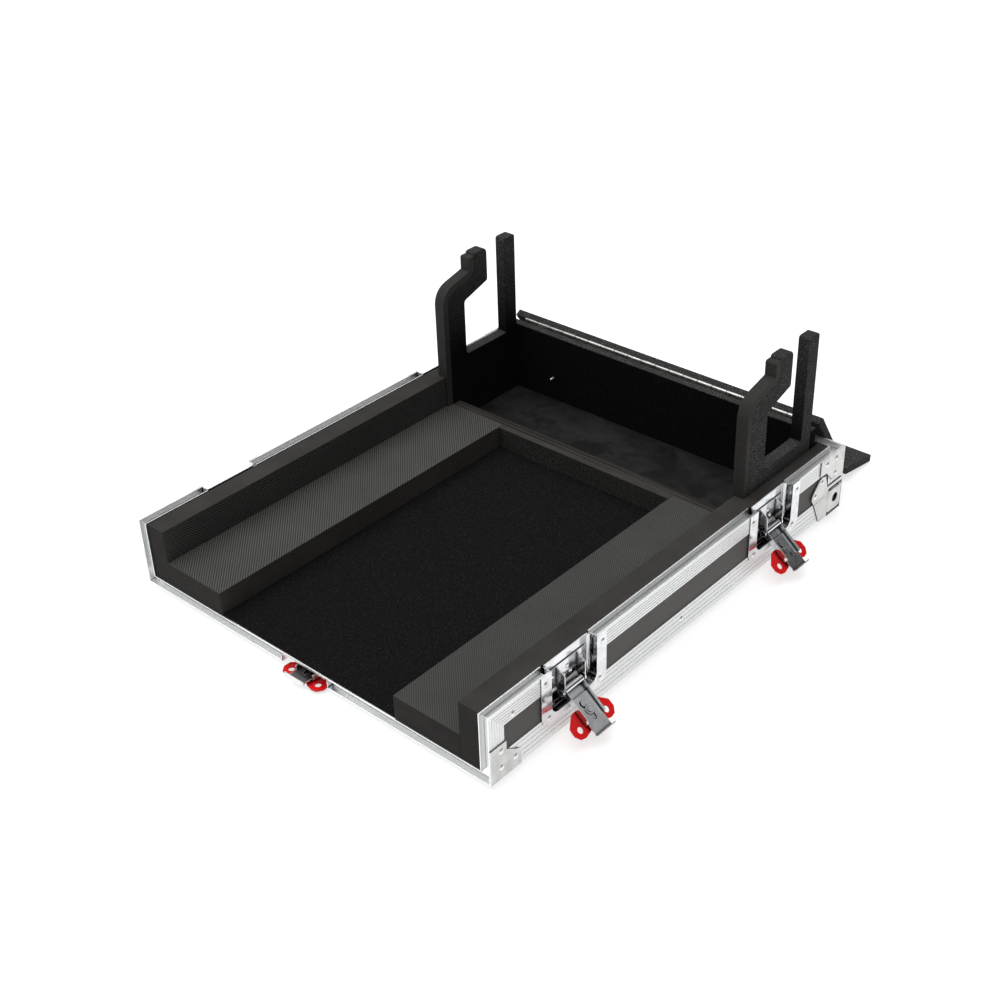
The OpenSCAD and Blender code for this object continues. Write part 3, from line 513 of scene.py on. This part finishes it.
# Copies of one cut foam: the ends are darker, and the sides are painted lighter, as light
EVA_TOP = eva_smooth("eva_cut_face", (0.0315, 0.0295, 0.0275))
EVA_END = eva_smooth("eva_cut_end", (0.0175, 0.0160, 0.0150))
EVA_SIDE = eva_smooth("eva_cut_side", (0.036, 0.0325, 0.030))
EVA_PAD = eva_pad()
KNURL_TOP = eva_knurled("eva_knurled_top", (0.058, 0.0575, 0.055), (1, 0, 0), (0, 1, 0), share=0.8)
KNURL_TOP_RIGHT = eva_knurled("eva_knurled_right", (0.050, 0.0495, 0.047), (1, 0, 0), (0, 1, 0),
                              share=0.6, contrast=0.33, pitch=2.5 * MM)
KNURL_SIDE = eva_knurled("eva_knurled_side", (0.040, 0.039, 0.037), (0, 1, 0), (0, 0, 1),
                         share=0.8, contrast=0.6)
KNURL_FRONT = eva_knurled("eva_knurled_front", (0.033, 0.0315, 0.030), (1, 0, 0), (0, 1, 1),
                          share=0.15, contrast=0.7, pitch=2.3 * MM)
KNURL_FACING = eva_knurled("eva_knurled_facing", (0.034, 0.033, 0.0315), (1, 0, 0), (0, 1, 1),
                           share=0.42, contrast=0.8, pitch=2.4 * MM)
PLY_EDGE = ply_edge()


def paint(node, material):
    """Gives the whole of a node one material."""
    obj = nodes[node]
    if not obj.material_slots:
        obj.data.materials.append(material)
    for slot in obj.material_slots:
        slot.material = material


def ease_edges(node, width):
    """Rounds the sharp edges of a sheet-metal node."""
    mod = nodes[node].modifiers.new("eased_edges", "BEVEL")
    mod.width = width
    mod.segments = 2
    mod.limit_method = "ANGLE"
    mod.angle_limit = METAL_EDGE


# The aluminium pieces, and the axis that the lines on each run along
EXTRUSIONS = {
    "edge_angle_left": Y, "edge_angle_right": Y, "edge_angle_rear": X, "rear_corner_angles": Z,
    "rim_left": Y, "rim_right": Y, "rim_rear": X, "rim_front_posts": Z, "rim_floor": X,
}
# The front latch sits under the front edge, where its level faces reflect the dark case; that dark
# reflection is painted on them.
FRONT_LATCH = ("latch_dish_front", "latch_arm_front", "latch_hook_front")
for node, axis in EXTRUSIONS.items():
    paint(node, ALU[axis])
    ease_edges(node, TRIM_EASE)
for node in ("floor_panel", "side_panel_left", "side_panel_right", "rear_panel"):
    paint(node, LAMINATE)
for node in ("front_corner_brackets", "rear_corner_brackets", "ball_corner_left", "ball_corner_right"):
    paint(node, CORNER if node.startswith("ball") else SATIN)
    ease_edges(node, BRACKET_EASE)
paint("rivets", RIVET)
paint("rubber_feet", RUBBER)
for node in ("cover_hinge_fixed", "cover_hinge_moving", "fold_hinge_cover", "fold_hinge_flap"):
    paint(node, FOLD_HINGE if node.startswith("fold") else COVER_HINGE)
for node in nodes:
    if node.startswith(("latch_dish", "latch_arm", "latch_hook")):
        paint(node, SHADED if node in FRONT_LATCH else BRIGHT)
        ease_edges(node, LATCH_EASE)
    if node.startswith("latch_handle"):
        paint(node, RED)
        ease_edges(node, WING_EASE)


# Foam and carpeted boards

def rounded_copy(node, body, radius, look):
    """A soft piece with the node's outline and eased edges.

    look gives the material for a face from its normal and centre.
    """
    segments = 2 if radius < THIN_EASE else 3 if radius < UPRIGHT_EASE else 4
    bm = bmesh.new()
    bm.from_mesh(nodes[node].data)
    bmesh.ops.remove_doubles(bm, verts=bm.verts, dist=WELD)
    bmesh.ops.dissolve_limit(bm, angle_limit=FLAT, verts=bm.verts, edges=bm.edges)
    bm.normal_update()
    sharp = [e for e in bm.edges if len(e.link_faces) == 2 and e.calc_face_angle(0) > SOFT_EDGE]
    bmesh.ops.bevel(bm, geom=sharp, offset=radius, segments=segments, profile=0.5,
                    affect="EDGES", clamp_overlap=True)
    bm.normal_update()
    mesh = bpy.data.meshes.new("soft_" + node)
    used = []
    for face in bm.faces:
        material = look(face.normal, face.calc_center_median())
        if material not in used:
            used.append(material)
            mesh.materials.append(material)
        face.material_index = used.index(material)
        face.smooth = True
    bm.to_mesh(mesh)
    bm.free()
    piece = bpy.data.objects.new("soft_" + node, mesh)
    bpy.context.collection.objects.link(piece)
    weighted = piece.modifiers.new("flat_faces", "WEIGHTED_NORMAL")
    weighted.keep_sharp = True
    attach(piece, body)
    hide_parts(node)


def all_over(material):
    return lambda normal, centre: material


def side_look(sign):
    """Side foam: embossed towards the mixer, smooth on its cut top and ends."""
    def look(normal, centre):
        if normal.x * sign < -SQUARELY:
            return KNURL_SIDE
        return EVA_TOP if normal.z > LOOSELY else EVA_END
    return look


def ledge_look(normal, centre):
    """Ledge: embossed on top, smooth on its cut sides."""
    if normal.z > SQUARELY:
        return KNURL_TOP if centre.x < 0 else KNURL_TOP_RIGHT
    return EVA_END if normal.y < -LOOSELY else EVA_SIDE


def partition_look(normal, centre):
    """Foam on the partition: embossed in front."""
    return KNURL_FRONT if normal.y < -SQUARELY else EVA_TOP


def facing_look(normal, centre):
    """Foam facing of an upright: smooth on its cut sides only."""
    return EVA_SIDE if abs(normal.x) > LOOSELY else KNURL_FACING


def upright_look(sign):
    """Upright: painted shade on its inner side and its front, dark low down, and flecked carpet
    elsewhere.
    """
    def look(normal, centre):
        in_shade = normal.x * sign < -SQUARELY or normal.y < -STRICTLY
        return CARPET_POST if in_shade else CARPET_BOARD
    return look


def rear_board_look(normal, centre):
    """Rear board: flecked on its top, and painted shade makes it black in the bay."""
    return CARPET_BOARD if normal.z > LOOSELY else CARPET_DARK


for side, sign in (("left", -1), ("right", 1)):
    rounded_copy("side_foam_" + side, "case", FOAM_EASE, side_look(sign))
    rounded_copy("ledge_foam_" + side, "case", LEDGE_EASE, ledge_look)
    rounded_copy("upright_" + side, "case", UPRIGHT_EASE, upright_look(sign))
    rounded_copy("upright_facing_" + side, "case", FACING_EASE, facing_look)
rounded_copy("rear_foam_strips", "case", FOAM_EASE, all_over(EVA_TOP))
rounded_copy("partition_foam", "case", THIN_EASE, partition_look)
rounded_copy("partition_board", "case", THIN_EASE, all_over(PLY_EDGE))
rounded_copy("bay_pad", "case", THIN_EASE, all_over(EVA_PAD))
rounded_copy("floor_carpet", "case", FLOOR_EASE, all_over(CARPET_FLOOR))
rounded_copy("rear_board", "case", REAR_BOARD_EASE, rear_board_look)
rounded_copy("cover_panel", "cover", COVER_EASE, all_over(CARPET_BOARD))
rounded_copy("flap_panel", "flap", COVER_EASE, all_over(CARPET_BOARD))


# Small metal trim

def turned(name, profile, base, axis, material, sides=24):
    """A turned piece from (radius, height) points, standing on base along axis."""
    turn = Vector(axis).to_track_quat("Z", "Y").to_matrix()
    bm = bmesh.new()
    rings = []
    for radius, height in profile:
        ring = []
        for i in range(sides if radius > 0 else 1):
            angle = 2 * math.pi * i / sides
            spot = Vector((radius * math.cos(angle), radius * math.sin(angle), height))
            ring.append(bm.verts.new(Vector(base) + turn @ spot))
        rings.append(ring)
    for low, high in zip(rings, rings[1:]):
        for i in range(sides):
            j = (i + 1) % sides
            corners = [low[i % len(low)], low[j % len(low)], high[j % len(high)], high[i % len(high)]]
            bm.faces.new(list(dict.fromkeys(corners)))
    bmesh.ops.recalc_face_normals(bm, faces=bm.faces)
    mesh = bpy.data.meshes.new(name)
    bm.to_mesh(mesh)
    bm.free()
    mesh.materials.append(material)
    piece = bpy.data.objects.new(name, mesh)
    bpy.context.collection.objects.link(piece)
    return piece


def screw_profile():
    """(radius, height) points of the screw's end: its neck, its thread and its tip."""
    points = [(0.0, 0.0), (SCREW_NECK, 0.0)]
    for i in range(THREAD_TURNS):
        points += [(THREAD_CREST, (i + 0.5) * THREAD_PITCH), (THREAD_ROOT, (i + 1) * THREAD_PITCH)]
    return points + [(0.0, SCREW_LENGTH)]


board_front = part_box("rear_board")[0][Y]
screw = turned("screw_end", screw_profile(), (SCREW_X, board_front, SCREW_Z), (0, -1, 0), BRIGHT)
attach(screw, "case")


# Studio

def floor_paint():
    """Pale paper that glows a little, so that shadows on it stay faint."""
    s = Shader("studio_floor", grey(0.45), 0.85)
    s.use(s.ramp(s.noise(2.0), (0.3, 0.445), (0.7, 0.455)), "Base Color")
    s.bsdf.inputs["Emission Color"].default_value = (1, 1, 1, 1)
    s.bsdf.inputs["Emission Strength"].default_value = FLOOR_GLOW
    return s.mat


def studio_floor():
    mesh = bpy.data.meshes.new("studio_floor")
    corners = [(x * FLOOR_REACH, y * FLOOR_REACH, 0) for x, y in ((-1, -1), (1, -1), (1, 1), (-1, 1))]
    mesh.from_pydata(corners, [], [(0, 1, 2, 3)])
    mesh.materials.append(floor_paint())
    floor = bpy.data.objects.new("studio_floor", mesh)
    bpy.context.collection.objects.link(floor)


def studio_sky():
    """A white background for the camera. Reflections see a sky with a dark band above its horizon."""
    world = bpy.context.scene.world or bpy.data.worlds.new("studio")
    bpy.context.scene.world = world
    world.use_nodes = True
    sky = Nodes(world.node_tree)
    direction = sky.node("ShaderNodeTexCoord").outputs["Generated"]
    height = sky.math("MULTIPLY_ADD", sky.part(direction, X), SKY_LEAN, sky.part(direction, Z))
    reflected = world.node_tree.nodes["Background"]
    reflected.inputs["Strength"].default_value = SKY_STRENGTH
    sky.link(sky.ramp(height, *SKY_SHADES), reflected.inputs["Color"])
    seen = sky.node("ShaderNodeBackground")
    seen.inputs["Color"].default_value = (1, 1, 1, 1)
    either = sky.node("ShaderNodeMixShader")
    sky.link(sky.node("ShaderNodeLightPath").outputs["Is Camera Ray"], either.inputs[0])
    sky.link(reflected.outputs[0], either.inputs[1])
    sky.link(seen.outputs[0], either.inputs[2])
    sky.link(either.outputs[0], world.node_tree.nodes["World Output"].inputs["Surface"])


def soft_sun(name, towards, spread, strength):
    """A studio light so wide and far that it lights everything evenly."""
    lamp = bpy.data.lights.new(name, "SUN")
    lamp.energy = strength
    lamp.angle = math.radians(spread)
    obj = bpy.data.objects.new(name, lamp)
    bpy.context.collection.objects.link(obj)
    obj.rotation_euler = Vector(towards).to_track_quat("-Z", "Y").to_euler()


def photo_camera():
    lens = bpy.data.cameras.new("camera")
    lens.sensor_width = SENSOR_WIDTH
    lens.lens = CAMERA_LENS
    camera = bpy.data.objects.new("camera", lens)
    bpy.context.collection.objects.link(camera)
    camera.location = CAMERA_PLACE
    camera.rotation_euler = [math.radians(angle) for angle in CAMERA_TURN]
    bpy.context.scene.camera = camera


studio_floor()
studio_sky()
soft_sun("overhead", towards=(0.25, 0.1, -1.0), spread=70, strength=2.3)
soft_sun("from_the_right", towards=(-0.8, 0.5, -0.7), spread=50, strength=0.45)
photo_camera()
bpy.context.scene.view_settings.view_transform = "Standard"
